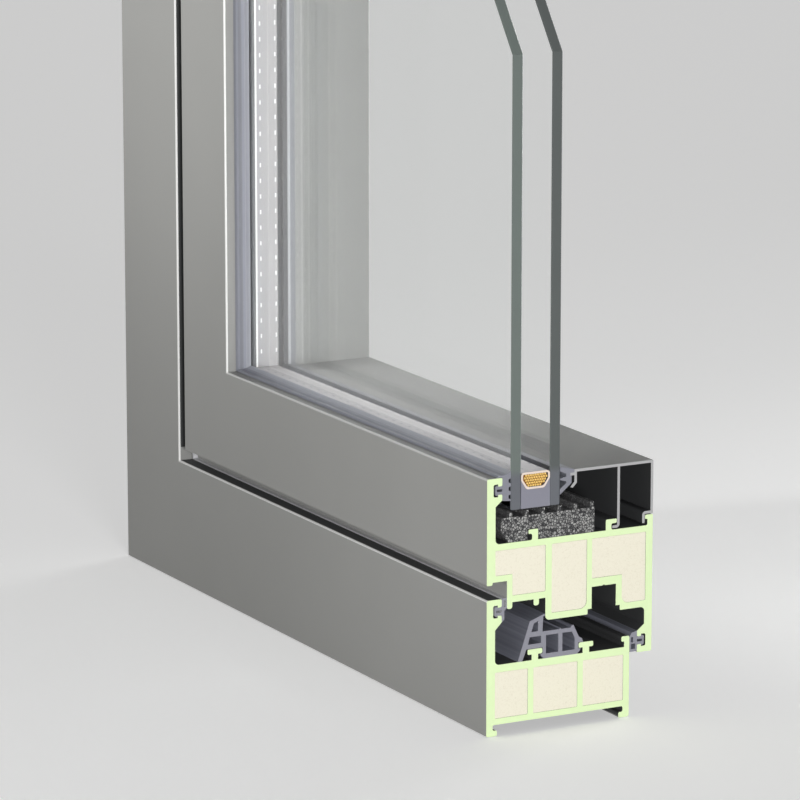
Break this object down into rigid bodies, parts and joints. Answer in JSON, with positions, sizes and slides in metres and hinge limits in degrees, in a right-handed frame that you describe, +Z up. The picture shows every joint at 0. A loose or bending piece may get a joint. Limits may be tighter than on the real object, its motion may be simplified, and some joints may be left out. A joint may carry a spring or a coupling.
{
  "type": "window corner section",
  "caption": "Mitred corner sample of an inward opening window: foam filled hollow frame and sash profiles, snap-in glazing bead, gaskets and insulating glass.",
  "frame": {"origin": "middle of the sill's length and of the whole depth, on the floor under the frame's feet", "axes": "+X along the sill from the outer corner to the sawn end, +Y from the exterior to the interior, +Z up the jamb"},
  "size_m": [0.363, 0.0816, 0.4],
  "materials": {
    "coated_profile": "grey coating on glass fibre reinforced resin, pale green on sawn faces",
    "core_foam": "fine cell foam",
    "bead_metal": "grey coating",
    "gasket_rubber": "matt extruded rubber",
    "granule_foam": "bonded foam granules, grey and black",
    "clear_glass": "clear float glass",
    "spacer_plastic": "satin",
    "desiccant": "small matt beads",
    "sealant": "matt cured sealant"
  },
  "bodies": {
    "root": {"frame_profile_sill": "coated_profile", "frame_profile_jamb": "coated_profile", "sash_profile_sill": "coated_profile", "sash_profile_jamb": "coated_profile", "frame_foam_outer_sill": "core_foam", "frame_foam_outer_jamb": "core_foam", "frame_foam_middle_sill": "core_foam", "frame_foam_middle_jamb": "core_foam", "frame_foam_inner_sill": "core_foam", "frame_foam_inner_jamb": "core_foam", "sash_foam_outer_sill": "core_foam", "sash_foam_outer_jamb": "core_foam", "sash_foam_middle_sill": "core_foam", "sash_foam_middle_jamb": "core_foam", "sash_foam_inner_sill": "core_foam", "sash_foam_inner_jamb": "core_foam", "glazing_bead_sill": "bead_metal", "glazing_bead_jamb": "bead_metal", "frame_gasket_sill": "gasket_rubber", "frame_gasket_jamb": "gasket_rubber", "centre_gasket_sill": "gasket_rubber", "centre_gasket_jamb": "gasket_rubber", "sash_gasket_sill": "gasket_rubber", "sash_gasket_jamb": "gasket_rubber", "outer_glazing_gasket_sill": "gasket_rubber", "outer_glazing_gasket_jamb": "gasket_rubber", "inner_glazing_gasket_sill": "gasket_rubber", "inner_glazing_gasket_jamb": "gasket_rubber", "rebate_strip_sill": "granule_foam", "rebate_strip_jamb": "granule_foam", "edge_spacer_sill": "spacer_plastic", "edge_spacer_jamb": "spacer_plastic", "desiccant_fill_sill": "desiccant", "desiccant_fill_jamb": "desiccant", "edge_sealant_sill": "sealant", "edge_sealant_jamb": "sealant", "outer_pane": "clear_glass", "inner_pane": "clear_glass"}
  },
  "joints": []
}
